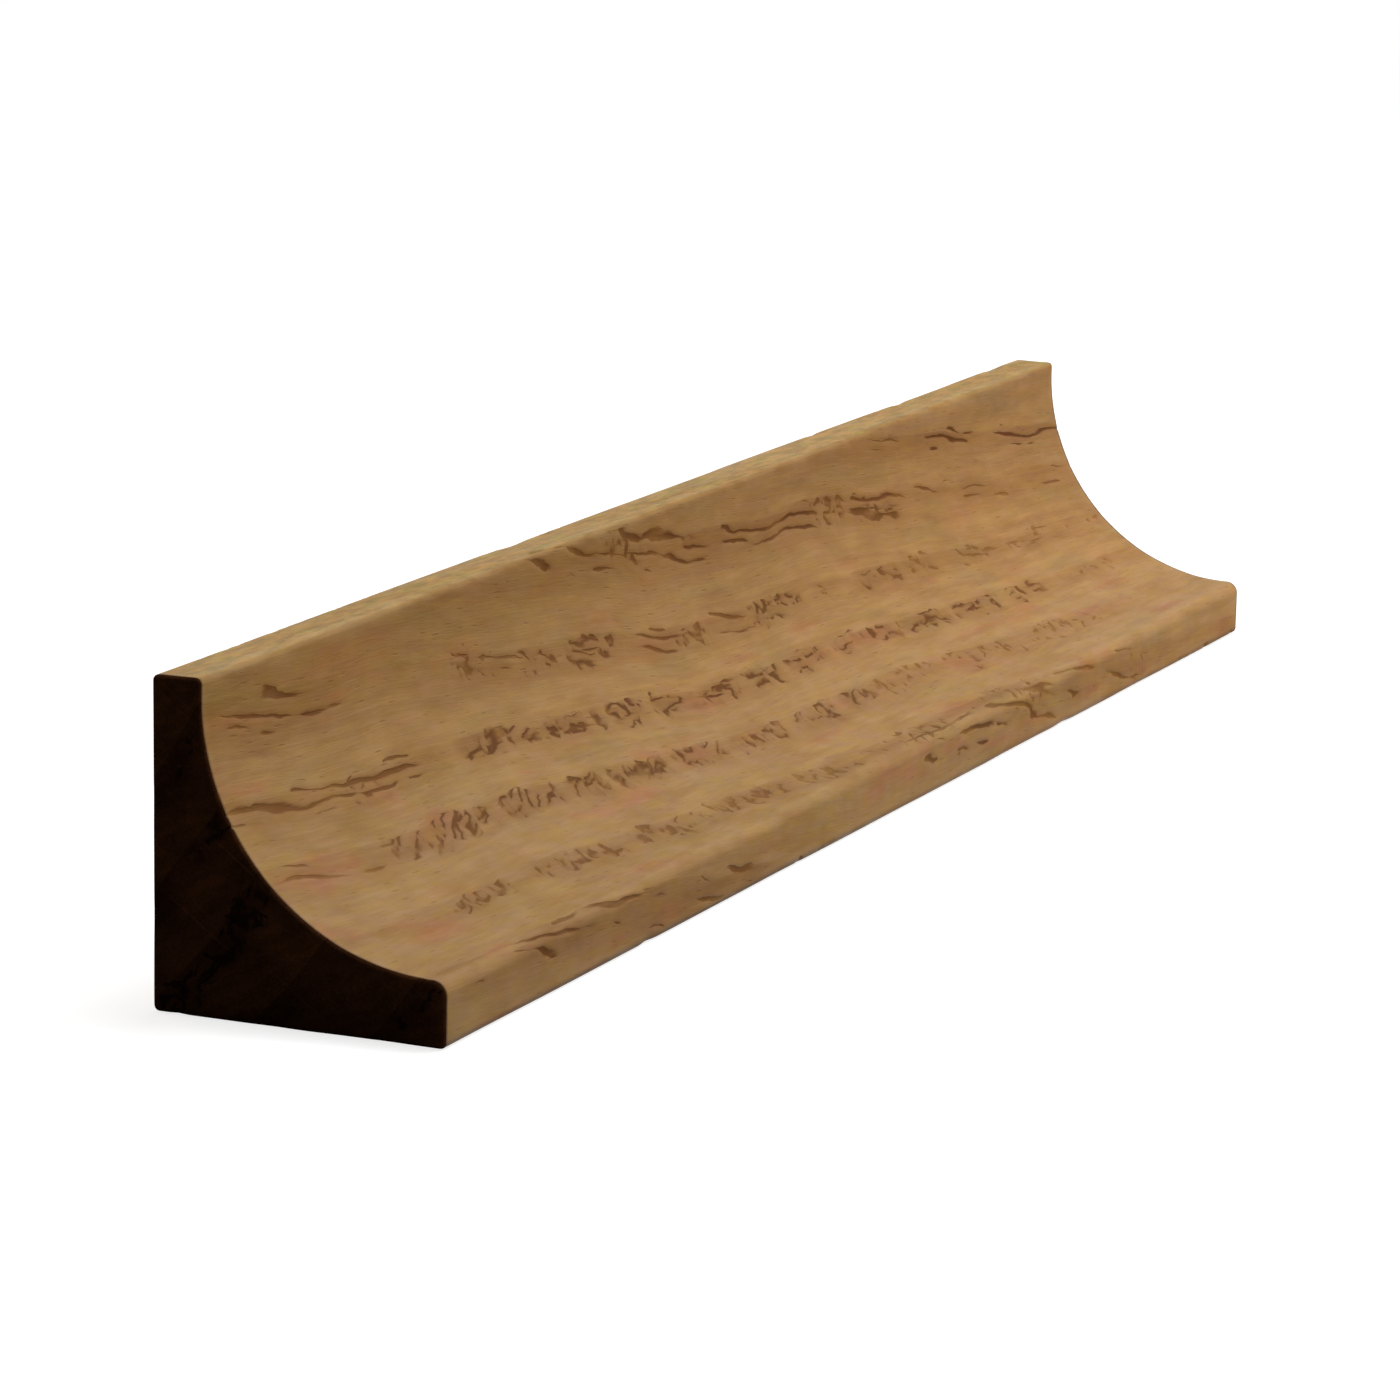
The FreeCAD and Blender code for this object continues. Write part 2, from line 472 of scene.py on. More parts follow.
# %% The helper
class Recipe:
    """Adds nodes to one tree. Each value may be a number or the output of another node."""

    def __init__(self, tree):
        self.tree = tree

    def feed(self, socket, value):
        """Link a socket to another node, or set it to a number or a colour."""
        if isinstance(value, bpy.types.NodeSocket):
            self.tree.links.new(value, socket)
        else:
            socket.default_value = value

    def node(self, kind, feeds=(), **settings):
        """Add a node with its settings, and feed its inputs."""
        made = self.tree.nodes.new(kind)
        for name, value in settings.items():
            setattr(made, name, value)
        for name, value in dict(feeds).items():
            self.feed(made.inputs[name], value)
        return made

    def calc(self, operation, *values):
        """One Math node."""
        return self.node("ShaderNodeMath", dict(enumerate(values)), operation=operation).outputs[0]

    def times(self, first, *others):
        """All the values multiplied together."""
        for other in others:
            first = self.calc("MULTIPLY", first, other)
        return first

    def line(self, value, slope, start):
        """A straight line: the value times slope, plus start."""
        return self.calc("MULTIPLY_ADD", value, slope, start)

    def summed(self, start, *shares):
        """Start, plus each value times its share."""
        for value, share in shares:
            start = self.line(value, share, start)
        return start

    def keep_between(self, value):
        """The value, kept from 0 to 1."""
        return self.node("ShaderNodeMath", {0: value, 1: 0.0}, operation="ADD", use_clamp=True).outputs[0]

    def rise(self, value, low, high, start=0.0, end=1.0):
        """A smooth step: start below low, end above high."""
        feeds = {"Value": value, "From Min": low, "From Max": high, "To Min": start, "To Max": end}
        return self.node("ShaderNodeMapRange", feeds, interpolation_type="SMOOTHSTEP").outputs[0]

    def fall(self, value, low, high):
        """A smooth step down: 1 below low, 0 above high."""
        return self.rise(value, low, high, 1.0, 0.0)

    def hill(self, value, foot, top, brow, end):
        """A rise from foot to top, and a fall from brow to end."""
        return self.times(self.rise(value, foot, top), self.fall(value, brow, end))

    def vector(self, operation, *values):
        """One Vector Math node."""
        return self.node("ShaderNodeVectorMath", dict(enumerate(values)), operation=operation).outputs[0]

    def parts(self, vector):
        """The three parts of a vector or a colour."""
        return self.node("ShaderNodeSeparateXYZ", {0: vector}).outputs

    def noise(self, place, pace, detail=2.0, roughness=0.5, coloured=False):
        """A soft noise, which changes at its own pace along each part of place."""
        paced = self.vector("MULTIPLY", place, pace)
        feeds = {"Vector": paced, "Scale": 1.0, "Detail": detail, "Roughness": roughness}
        return self.node("ShaderNodeTexNoise", feeds).outputs[1 if coloured else 0]

    def cells(self, place, pace):
        """Scattered cells: the distance from their middles, and their random ranks."""
        paced = self.vector("MULTIPLY", place, pace)
        found = self.node("ShaderNodeTexVoronoi", {"Vector": paced, "Scale": 1.0}).outputs
        return found["Distance"], self.parts(found["Color"])


print("recipe helper ready")

# %% [markdown]
# ## One recipe for the pores
#
# The vessels of oak stand in crooked chains, and a planer opens them as short winding marks, like
# handwriting, with gaps between them. Cells with one round hollow each look too tidy for that. A contour line
# of a soft noise winds in the right way, just as the contours on a map do. So a stroke is the ground close to
# one contour line, broken off where a second noise says so, and kept only in the spring band of a ring. Low
# in the cove, where the cut meets the rings at another angle, the strokes lean more. The long streaks lie
# side by side and sway slowly, and each one thins towards its ends. A noise has a pace: how often it changes
# in a millimetre along the fibres, outwards and round the tree.

# %% Measures of the pores
spring_share = 0.33
band_shape = (0.0, 0.12 * spring_share, 0.75 * spring_share, 1.25 * spring_share)
band_pace = (0.35, 0.6, 0.6)
band_swing = 1.8
pore_half_width = 0.085
wander_pace = (0.6, 1.3, 1.3)
stroke_wander = 0.6
stroke_pace = (0.42, 1.25, 0.9)
stroke_gap_pace = (1.15, 0.8, 0.8)
stroke_fullness = 0.18
lean_by_ring = (4.3, 6.3, -0.08, 0.45)
streak_wander = 0.3
streak_spacing = 0.8
streak_lean = -0.05
streak_pace = (0.11, 0.5, 0.5)
streak_swing = 2.0
streak_gap_pace = (0.17, 1.7, 0.6)
streak_fullness = 0.28
streak_half_width = 1.6 * pore_half_width
streak_taper = 7.0
gap_level = 0.4
gap_steepness = 0.8
contour_steepness = 0.75
faintest_chance = 0.15
noise_middle = 0.5
print(f"strokes about {2 * pore_half_width:.2f} mm wide, streaks {2 * streak_half_width:.2f} mm")


# %% Band, lean and gaps of the pore recipe
def spring_band(recipe, out):
    """1 in the spring band of a ring, 0 elsewhere."""
    return recipe.hill(recipe.calc("FRACT", recipe.calc("DIVIDE", out, ring_width)), *band_shape)


def leaning(recipe, place, lean):
    """The place, sheared so that what follows the fibres climbs through the rings by lean."""
    x, out, round_tree = recipe.parts(place)
    return recipe.node("ShaderNodeCombineXYZ", {0: x, 1: recipe.line(x, lean, out), 2: round_tree}).outputs[0]


def kept_between_gaps(recipe, place, gap_pace, chance, fullness):
    """Above 0 where a hollow is kept and below 0 in a gap. A higher chance keeps more."""
    gaps = recipe.noise(place, gap_pace, 1.0)
    reach = recipe.line(chance, fullness, gap_level)
    kept = recipe.calc("DIVIDE", recipe.calc("SUBTRACT", reach, gaps), gap_steepness)
    return recipe.calc("MINIMUM", kept, recipe.calc("SUBTRACT", chance, faintest_chance))


print(f"a spring band is {band_shape[3] * ring_width:.2f} mm wide at its foot")


# %% Strokes, streaks and all open pores
def short_strokes(recipe, place, chance, lean):
    """How far inside a stroke each point is, in millimetres. Outside one it is below 0."""
    place = leaning(recipe, place, lean)
    level = recipe.noise(place, stroke_pace, 0.6)
    from_contour = recipe.calc("ABSOLUTE", recipe.calc("SUBTRACT", level, noise_middle))
    from_contour = recipe.calc("DIVIDE", from_contour, contour_steepness * stroke_pace[1])
    kept = kept_between_gaps(recipe, place, stroke_gap_pace, chance, stroke_fullness)
    return recipe.calc("MINIMUM", recipe.calc("SUBTRACT", pore_half_width, from_contour), kept)


def long_streaks(recipe, place, chance):
    """The same for a streak. Streaks lie side by side, swaying slowly, and each thins towards its ends."""
    place = leaning(recipe, place, streak_lean)
    swayed_out = recipe.line(recipe.noise(place, streak_pace, 1.0), streak_swing, recipe.parts(place)[1])
    share = recipe.calc("FRACT", recipe.calc("DIVIDE", swayed_out, streak_spacing))
    from_middle = recipe.times(recipe.calc("ABSOLUTE", recipe.calc("SUBTRACT", share, 0.5)), streak_spacing)
    kept = kept_between_gaps(recipe, place, streak_gap_pace, chance, streak_fullness)
    width = recipe.calc("MINIMUM", recipe.times(kept, streak_taper), 1.0)
    return recipe.calc("SUBTRACT", recipe.times(width, streak_half_width), from_middle)


def open_pores(recipe, place, showing):
    """How far inside an open pore each point is, in millimetres, and how far into its ring, from 0 to 1."""
    long_shown, short_shown, lower = recipe.parts(showing)
    dice = recipe.noise(place, wander_pace, 1.5, coloured=True)
    push = recipe.vector("SUBTRACT", dice, (noise_middle,) * 3)
    swayed = recipe.vector("MULTIPLY_ADD", push, (stroke_wander,) * 3, place)
    smooth = recipe.vector("MULTIPLY_ADD", push, (streak_wander,) * 3, place)
    band_sway = recipe.calc("SUBTRACT", recipe.noise(place, band_pace, 1.0), noise_middle)
    out = recipe.line(band_sway, band_swing, recipe.parts(swayed)[1])
    long_chance = recipe.times(spring_band(recipe, recipe.line(lower, -ring_width, out)), long_shown)
    short_chance = recipe.times(spring_band(recipe, out), short_shown)
    ring = recipe.calc("FLOOR", recipe.calc("DIVIDE", out, ring_width))
    lean = recipe.rise(ring, *lean_by_ring)
    streaks = long_streaks(recipe, smooth, long_chance)
    strokes = short_strokes(recipe, swayed, short_chance, lean)
    ring_share = recipe.calc("FRACT", recipe.calc("DIVIDE", recipe.parts(place)[1], ring_width))
    return recipe.calc("MAXIMUM", strokes, streaks), ring_share


print("pore recipe ready")


# %% [markdown]
# ## Cut the pores and the wear into the stick
#
# Geometry nodes push each point inwards against its outward direction. A bump in the material would look the
# same from the front, but a real hollow also shows on an edge and in the exported mesh. Spring bands are
# softer than the rest, so sanding leaves them a hundredth of a millimetre lower, and the ends keep the
# shallow arcs of the saw. When the modifier is applied the mesh is final.

# %% Measures of the relief, in millimetres
pore_depth = 0.085
pore_slope = (-0.07, 0.13)
band_depth = 0.012
low_band_shape = (0.0, 0.08, 0.6 * spring_share, 1.3 * spring_share)
saw_depth = 0.03
saw_pitch = 0.95
saw_centre = (-58.0, -112.0)
saw_wobble = 3.0
saw_wobble_pace = (0.1, 0.18, 0.18)
saw_begins = (0.25, 0.8)
to_millimetres = (1 / millimetre,) * 3
print(f"pores {pore_depth} mm deep, spring bands {band_depth} mm, saw marks {saw_depth} mm")


# %% Relief by geometry nodes
def named(recipe, name, kind="FLOAT"):
    """One of the stick's measures, inside geometry nodes."""
    return recipe.node("GeometryNodeInputNamedAttribute", {"Name": name}, data_type=kind).outputs[0]


def saw_arcs(recipe, position):
    """Waves from 0 to 1 across a sawn end, along the arcs of the blade. Position is in metres."""
    position = recipe.vector("MULTIPLY", position, to_millimetres)
    y, z = recipe.parts(position)[1:]
    across = recipe.calc("SUBTRACT", y, saw_centre[0])
    up = recipe.calc("SUBTRACT", z, saw_centre[1])
    reach = recipe.calc("SQRT", recipe.calc("ADD", recipe.times(across, across), recipe.times(up, up)))
    uneven = recipe.line(recipe.noise(position, saw_wobble_pace), saw_wobble, reach)
    return recipe.line(recipe.calc("SINE", recipe.times(uneven, 2 * math.pi / saw_pitch)), 0.5, 0.5)


relief_tree = bpy.data.node_groups.new("cut pores and wear", "GeometryNodeTree")
for way in ("INPUT", "OUTPUT"):
    relief_tree.interface.new_socket("Geometry", in_out=way, socket_type="NodeSocketGeometry")
relief = Recipe(relief_tree)
came_in = relief.node("NodeGroupInput")
inside, ring_share = open_pores(relief, named(relief, "place_in_tree", "FLOAT_VECTOR"),
                                named(relief, "pores_showing", "FLOAT_VECTOR"))
hollow = relief.rise(inside, *pore_slope)
low_band = relief.hill(ring_share, *low_band_shape)
arcs = saw_arcs(relief, relief.node("GeometryNodeInputPosition").outputs[0])
sawn = relief.times(relief.rise(named(relief, "sawn_depth"), *saw_begins), arcs)
wear = named(relief, "wear_depth")
cut = relief.summed(wear, (hollow, pore_depth), (low_band, band_depth), (sawn, saw_depth))
feeds = {0: named(relief, "outward", "FLOAT_VECTOR"), "Scale": relief.times(cut, -millimetre)}
inwards = relief.node("ShaderNodeVectorMath", feeds, operation="SCALE").outputs[0]
moved = relief.node("GeometryNodeSetPosition", {"Geometry": came_in.outputs[0], "Offset": inwards})
relief.node("NodeGroupOutput", {0: moved.outputs[0]})
oak_stick.modifiers.new("cut pores and wear", "NODES").node_group = relief_tree
print(len(relief_tree.nodes), "nodes in the relief")

# %% Apply the relief
drawn = np.array([vertex.co for vertex in oak_mesh.vertices])
with_relief = oak_stick.evaluated_get(bpy.context.evaluated_depsgraph_get())
oak_mesh = bpy.data.meshes.new_from_object(with_relief)
oak_mesh.name = "oak_stick_cut"
oak_stick.modifiers.clear()
oak_stick.data = oak_mesh
moved_by = np.array([vertex.co for vertex in oak_mesh.vertices]) - drawn
cut_depths = np.linalg.norm(moved_by, axis=1) / millimetre
print("deepest cut", round(float(cut_depths.max()), 3), "mm, mean", round(float(cut_depths.mean()), 4), "mm")

# %% [markdown]
# ## Face grain
#
# The planed faces are warm brown oak under a thin satin oil. The colour comes in layers, from slow to fine:
# a drift from greyer wood at the near end to warmer wood at the far end, soft blotches, the spring and summer
# bands of each ring, long fibre streaks, thin rays, and last the open pores, which hold dark oil and dust.
# The land was left rougher, so it is patchier. Upright faces are made a little more yellow, a painted
# reflection of the floor. The wall of the cove and the back are darkened as painted shade, and the foot of
# the cove is lightened as painted light. Rubbed edges are paler, partly as a painted highlight, and the base
# edges and the rims of the ends are darkened as painted shade. A photograph wrapped round the stick would
# give one board only and hide the ends. This wood is solid, so every face belongs to the same tree.

# %% Colours as a maker sees them
def tone(red, green, blue):
    """A colour given as screen values from 0 to 255, as the light that Blender works with."""
    screen = np.array([red, green, blue]) / 255
    light = np.where(screen <= 0.04045, screen / 12.92, ((screen + 0.055) / 1.055) ** 2.4)
    return (*light.round(5).tolist(), 1.0)


summer_wood = tone(169, 128, 72)
spring_wood = tone(153, 108, 59)
cool_wood = tone(149, 114, 68)
warm_wood = tone(172, 125, 68)
olive_wood = tone(150, 122, 68)
rust_blush = tone(170, 104, 66)
pore_brown = tone(117, 73, 31)
pore_dark = tone(92, 54, 25)
pore_wine = tone(96, 46, 28)
rough_wood = tone(162, 132, 61)
land_rust = tone(170, 123, 62)
land_olive = tone(156, 133, 54)
# paler wood of rubbed edges, partly a painted highlight
rubbed_and_highlit_wood = tone(186, 148, 90)
# painted shade along the base edges
base_edge_shade_colour = tone(58, 42, 26)
# painted shade at the rims of the ends
end_rim_shade_colour = tone(58, 31, 13)
# end grain: darkened by oil, and darker still as painted shade
end_dark_and_shaded = tone(64, 36, 17)
end_spring_and_shaded = tone(48, 25, 11)
end_ray = tone(90, 56, 30)
end_hollow = tone(20, 12, 8)
print("summer wood as light:", summer_wood)


# %% Helpers for a finish
def new_finish(name, shine):
    """A material, a recipe for its nodes, and its shader, which reflects as much as shine says."""
    material = bpy.data.materials.new(name)
    material.use_nodes = True
    shader = material.node_tree.nodes["Principled BSDF"]
    shader.inputs["Specular IOR Level"].default_value = shine
    return material, Recipe(material.node_tree), shader


def layer(recipe, amount, below, above, blend="MIX"):
    """Lay one colour over another by amount."""
    made = recipe.node("ShaderNodeMix", data_type="RGBA", blend_type=blend)
    recipe.feed(made.inputs["Factor"], amount)
    recipe.feed(made.inputs[6], below)
    recipe.feed(made.inputs[7], above)
    return made.outputs[2]


def shaded(recipe, colour, *light):
    """The colour times one light, or times a light each for its red, green and blue."""
    red, green, blue = light if len(light) == 3 else 3 * light
    by = recipe.node("ShaderNodeCombineColor", {0: red, 1: green, 2: blue}).outputs[0]
    return layer(recipe, 1.0, colour, by, "MULTIPLY")


def measure(recipe, name, output="Fac"):
    """One of the stick's measures, inside a material."""
    return recipe.node("ShaderNodeAttribute", attribute_name=name).outputs[output]


def finish_with(recipe, shader, colour, roughness, height):
    """Feed a shader its colour, its roughness and a fine relief, whose height is in millimetres."""
    bump = recipe.node("ShaderNodeBump", {"Height": height, "Strength": 1.0, "Distance": millimetre})
    for socket, value in (("Base Color", colour), ("Roughness", roughness), ("Normal", bump.outputs[0])):
        recipe.feed(shader.inputs[socket], value)
    print(len(recipe.tree.nodes), "nodes in the finish")


# %% The noises of the face grain
face_grain, face, face_shader = new_finish("oiled oak face", shine=0.12)
place = measure(face, "place_in_tree", "Vector")
noise_kinds = {
    # pace, detail and roughness
    "ring": ((0.12, 0.9, 0.9), 2.0, 0.5),
    "cloud": ((0.055, 0.16, 0.16), 3.0, 0.5),
    "streak": ((0.07, 2.6, 2.6), 4.0, 0.62),
    "brush": ((0.22, 1.1, 1.1), 3.0, 0.6),
    "fibre": ((0.35, 9.0, 9.0), 3.0, 0.6),
    "mottle": ((0.3, 0.55, 0.55), 3.0, 0.5),
    "smudge": ((0.1, 0.9, 0.9), 4.0, 0.65),
    "yellow": ((0.45, 1.1, 1.1), 3.0, 0.6),
    "nap": ((0.45, 1.5, 1.5), 4.0, 0.7),
    "rub_and_highlight": ((0.25, 0.9, 0.9), 3.0, 0.5),
    "scratch": ((0.5, 22.0, 22.0), 2.0, 0.5),
}
soft = {name: face.noise(place, *kind) for name, kind in noise_kinds.items()}
rust_blotch, olive_blotch, wine_blotch = face.parts(face.noise(place, (0.13, 0.5, 0.5), 3.0, coloured=True))
rust_patch, olive_patch = face.parts(face.noise(place, (0.35, 1.2, 1.2), 3.0, coloured=True))[:2]
print(len(soft), "soft noises")

# %% Rings, drift and blotches of the face grain
spring_strength = 0.55
late_strength = 0.2
drift_strength = 0.4
olive_strength = 0.4
cloud_reach = 60.0

showing = measure(face, "pores_showing", "Vector")
inside, ring_share = open_pores(face, place, showing)
most_showing = face.calc("MAXIMUM", *face.parts(showing)[:2])
soft_share = face.line(face.calc("SUBTRACT", soft["ring"], noise_middle), 0.3, ring_share)
spring = face.hill(soft_share, -0.02, 0.09, 0.5 * spring_share, 2.0 * spring_share)
late = face.hill(soft_share, 0.7, 0.9, 0.93, 1.05)
colour = layer(face, face.times(spring, spring_strength), summer_wood, spring_wood)
colour = layer(face, face.times(late, late_strength), colour, warm_wood)

along, out = face.parts(place)[:2]
from_cloud = face.line(soft["cloud"], cloud_reach, face.calc("SUBTRACT", along, cloud_reach / 2))
drift = layer(face, face.rise(from_cloud, -45.0, 75.0), cool_wood, warm_wood)
colour = layer(face, drift_strength, colour, drift)
# Towards the outer rings: the sapwood side, where rust blushes more, and the lit foot of the cove
sapwards_and_cove_light = face.rise(out, 10.0, 27.0)
rust = face.times(face.rise(rust_blotch, 0.54, 0.72), face.line(sapwards_and_cove_light, 0.35, 0.15))
colour = layer(face, rust, colour, rust_blush)
colour = layer(face, face.rise(olive_blotch, 0.52, 0.7, 0.0, olive_strength), colour, olive_wood)
print(len(face.tree.nodes), "nodes with the rings and blotches")

# %% Light and dark in the face grain, with painted shade on the wall and painted light at the foot of the cove
light_steps = [
    # value, where its step begins and ends, and the light before and after it
    (soft["streak"], 0.25, 0.75, 0.92, 1.07),
    (soft["brush"], 0.3, 0.7, 0.94, 1.06),
    (soft["fibre"], 0.25, 0.75, 0.94, 1.05),
    (soft["mottle"], 0.3, 0.7, 0.92, 1.07),
    (soft["smudge"], 0.42, 0.66, 1.03, 0.86),
    # painted light: the outer rings at the foot of the cove a little lighter
    (out, 24.0, 33.0, 1.0, 1.03),
]
red_power, blue_power = 0.75, 1.45
# Painted shade: the inner rings, cut by the wall of the cove and the back, are darkened for how the lamp
# falls
shade = face.times(face.line(sapwards_and_cove_light, 0.12, 0.88), *(face.rise(*step) for step in light_steps))
red, blue = (face.calc("POWER", shade, power) for power in (red_power, blue_power))
colour = shaded(face, colour, red, shade, blue)

on_land = measure(face, "left_rough")
livelier = face.calc("MAXIMUM", face.rise(out, 20.0, 30.0), on_land)
bluest = face.line(livelier, 0.09, 1.16)
yellowest = face.line(livelier, -0.08, 0.87)
outward_y = face.parts(face.node("ShaderNodeNewGeometry").outputs["Normal"])[1]
# Painted reflection: faces that point sideways get less blue, for the light the floor throws on them
upright_floor_reflection = face.rise(face.calc("ABSOLUTE", outward_y), 0.96, 1.0, 1.0, 0.88)
blue = face.times(face.rise(soft["yellow"], 0.3, 0.7, bluest, yellowest), upright_floor_reflection)
colour = shaded(face, colour, 1.0, 1.0, blue)
print(len(face.tree.nodes), "nodes with light and dark")

# %% Rays and pores of the face grain
ray_strength = 0.22
fine_pore_reach = 0.34
fine_pore_softness = 0.16
fine_pore_strength = 0.3

from_ray, ray_rank = face.cells(place, (0.13, 0.07, 3.2))
ray = face.times(face.fall(from_ray, 0.1, 0.34), face.rise(ray_rank[1], 0.8, 0.82, 0.0, ray_strength))
colour = layer(face, ray, colour, spring_wood)
from_fine_pore, fine_rank = face.cells(place, (0.6, 4.2, 4.2))
fine_reach = face.rise(fine_rank[0], 0.55, 1.0, 0.0, fine_pore_reach)
fine_inside = face.calc("SUBTRACT", fine_reach, from_fine_pore)
fine_pore = face.keep_between(face.calc("DIVIDE", fine_inside, fine_pore_softness))
colour = layer(face, face.times(fine_pore, fine_pore_strength), colour, pore_brown)

brush_stain = face.rise(soft["brush"], 0.35, 0.65, 0.14, 0.42)
lip_stain = face.rise(out, 33.0, 34.5, 1.0, 1.6)
colour = layer(face, face.times(spring, most_showing, brush_stain, lip_stain), colour, pore_brown)
halo = face.times(face.rise(inside, -0.17, 0.03), face.rise(most_showing, 0.1, 1.0, 0.05, 0.34))
colour = layer(face, halo, colour, pore_brown)
pore_colour = layer(face, face.rise(most_showing, 0.4, 1.0), pore_brown, pore_dark)
pore_colour = layer(face, face.rise(wine_blotch, 0.5, 0.62, 0.0, 0.7), pore_colour, pore_wine)
pore = face.rise(inside, -0.03, 0.07)
paler_low_down = face.rise(out, 20.0, 31.0, 1.0, 0.83)
pore_amount = face.times(pore, face.rise(most_showing, 0.1, 1.0, 0.2, 0.82), paler_low_down)
colour = layer(face, pore_amount, colour, pore_colour)
print(len(face.tree.nodes), "nodes with the rays and pores")

# %% The rough land, the worn edges with a painted highlight, and painted shade at the base and the ends
rough_strength = 0.4
patch_softness = 0.16
patch_strength = 0.65
rub_and_highlight_strength = 0.3
end_rim_shade_strength = 0.85
end_rim_shade_begins = half_length - 0.5
end_rim_shade_full = half_length - 0.22

colour = layer(face, face.times(on_land, rough_strength), colour, rough_wood)
for patch, begins, patch_colour in ((olive_patch, 0.5, land_olive), (rust_patch, 0.44, land_rust)):
    patchy = face.rise(patch, begins, begins + patch_softness, 0.0, patch_strength)
    colour = layer(face, face.times(on_land, patchy), colour, patch_colour)
napped = face.calc("SUBTRACT", face.rise(soft["nap"], 0.35, 0.65, 0.76, 1.16), 1.0)
colour = shaded(face, colour, face.line(napped, on_land, 1.0))

edge = measure(face, "edge_nearness")
# Rubbed edges: worn paler, and partly a painted highlight where the arrises catch the light
rub_and_highlight = face.times(edge, face.rise(soft["rub_and_highlight"], 0.4, 0.62))
colour = layer(face, face.times(rub_and_highlight, rub_and_highlight_strength), colour, rubbed_and_highlit_wood)
# Painted shade: the face darkens along the base edges, where the stick meets the floor, most at the near end
above_base = face.parts(face.node("ShaderNodeTexCoord").outputs["Object"])[2]
low_down = face.fall(above_base, 0.1 * millimetre, 0.7 * millimetre)
base_edge_shade = face.times(edge, low_down, face.rise(along, -20.0, 10.0, 0.9, 0.55))
colour = layer(face, base_edge_shade, colour, base_edge_shade_colour)
# Painted shade: the face darkens close to both ends, so the rim of the shaded near end stays as dark as the
# end
end_rim_shade = face.rise(face.calc("ABSOLUTE", along), end_rim_shade_begins, end_rim_shade_full, 0.0, end_rim_shade_strength)
colour = layer(face, end_rim_shade, colour, end_rim_shade_colour)
print(len(face.tree.nodes), "nodes with the land and the edges")

# %% Sheen and fine relief of the face grain
knife_pitch = 1.6
satin = face.summed(face.rise(soft["streak"], 0.2, 0.8, 0.46, 0.6), (spring, 0.07), (rub_and_highlight, -0.1), (pore, 0.3))
knife = face.calc("SINE", face.times(along, 2 * math.pi / knife_pitch))
rough_nap = face.times(soft["nap"], on_land)
height = face.summed(0.0, (soft["scratch"], 0.006), (soft["fibre"], 0.02), (knife, 0.0012), (pore, -0.03),
                     (fine_pore, -0.015), (rough_nap, 0.05))
finish_with(face, face_shader, colour, face.keep_between(satin), height)

# %% [markdown]
# ## End grain
#
# Sawn across, every vessel is an open straw, so the oil soaks in deep and the ends turn a very dark brown and
# dry out dull. Part of that darkness is painted shade, which keeps the shaded near end almost black. The same
# rings and pores show here cut across: bands of round dots, with thin pale rays crossing them, and over all
# of it the faint arcs of the saw. A separate material is simpler than one that tries to tell ends from faces,
# because the oil, the shine and the relief all differ.

# %% The end grain material
end_spring_strength = 0.8
end_pore_strength = 0.85

end_grain, end, end_shader = new_finish("oiled oak end", shine=0.0)
place = measure(end, "place_in_tree", "Vector")
end_inside, ring_share = open_pores(end, place, measure(end, "pores_showing", "Vector"))
end_pore = end.rise(end_inside, -0.03, 0.08)
arcs = saw_arcs(end, end.node("ShaderNodeTexCoord").outputs["Object"])
straw = end.noise(place, (0.5, 7.0, 7.0))
end_band = end.fall(ring_share, 0.6 * spring_share, 1.6 * spring_share)
colour = layer(end, end.times(end_band, end_spring_strength), end_dark_and_shaded, end_spring_and_shaded)
soaked = end.rise(end.noise(place, (0.2, 0.28, 0.28), 4.0, 0.6), 0.3, 0.7, 0.65, 1.35)
colour = shaded(end, colour, soaked)
from_end_ray, end_rank = end.cells(place, (0.13, 0.07, 2.6))
end_rays = end.times(end.fall(from_end_ray, 0.08, 0.26), end.rise(end_rank[1], 0.55, 0.62, 0.15, 0.6))
colour = layer(end, end_rays, colour, end_ray)
straw_light = end.rise(straw, 0.3, 0.7, 0.8, 1.15)
arc_light = end.rise(arcs, 0.0, 1.0, 1.06, 0.9)
colour = shaded(end, shaded(end, colour, straw_light), arc_light)
colour = layer(end, end.times(end_pore, end_pore_strength), colour, end_hollow)
end_relief = end.summed(0.0, (straw, 0.03), (end_pore, -0.1), (arcs, -0.012))
finish_with(end, end_shader, colour, end.rise(straw, 0.2, 0.8, 0.82, 0.95), end_relief)

# %% Give each face its material, and the stick its place
oak_mesh.materials.append(face_grain)
oak_mesh.materials.append(end_grain)
on_easing = (i < len(easing_angles)) | (i >= station_count - 1 - len(easing_angles))
material_numbers = np.concatenate([on_easing.astype(int), np.ones(len(near_faces) + len(far_faces), int)])
oak_mesh.polygons.foreach_set("material_index", material_numbers.astype(np.int32))
oak_mesh.update()
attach(oak_stick, "root")
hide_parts("scotia_moulding")
print("faces of face grain and end grain:", np.bincount(material_numbers))

# %% [markdown]
# ## Floor and backdrop
#
# The photograph shows the stick on pure white. White comes from the floor and the world, not from strong
# lamps: to the camera, and in reflections, the floor glows at a little under white and adds the lamps' light
# on top, so that the soft shadow under the stick stays. To light that bounces, the floor is a plain grey,
# which keeps the shaded end of the stick dark, as it is in the photograph.

# %% The floor's shape
floor_reach = 3.0
floor_drop = -0.02 * millimetre
floor_mesh = bpy.data.meshes.new("floor")
corners = [(x * floor_reach, y * floor_reach, floor_drop) for x, y in ((-1, -1), (1, -1), (1, 1), (-1, 1))]
floor_mesh.from_pydata(corners, [], [(0, 1, 2, 3)])
floor = bpy.data.objects.new("floor", floor_mesh)
bpy.context.scene.collection.objects.link(floor)
print("floor", 2 * floor_reach, "m wide")


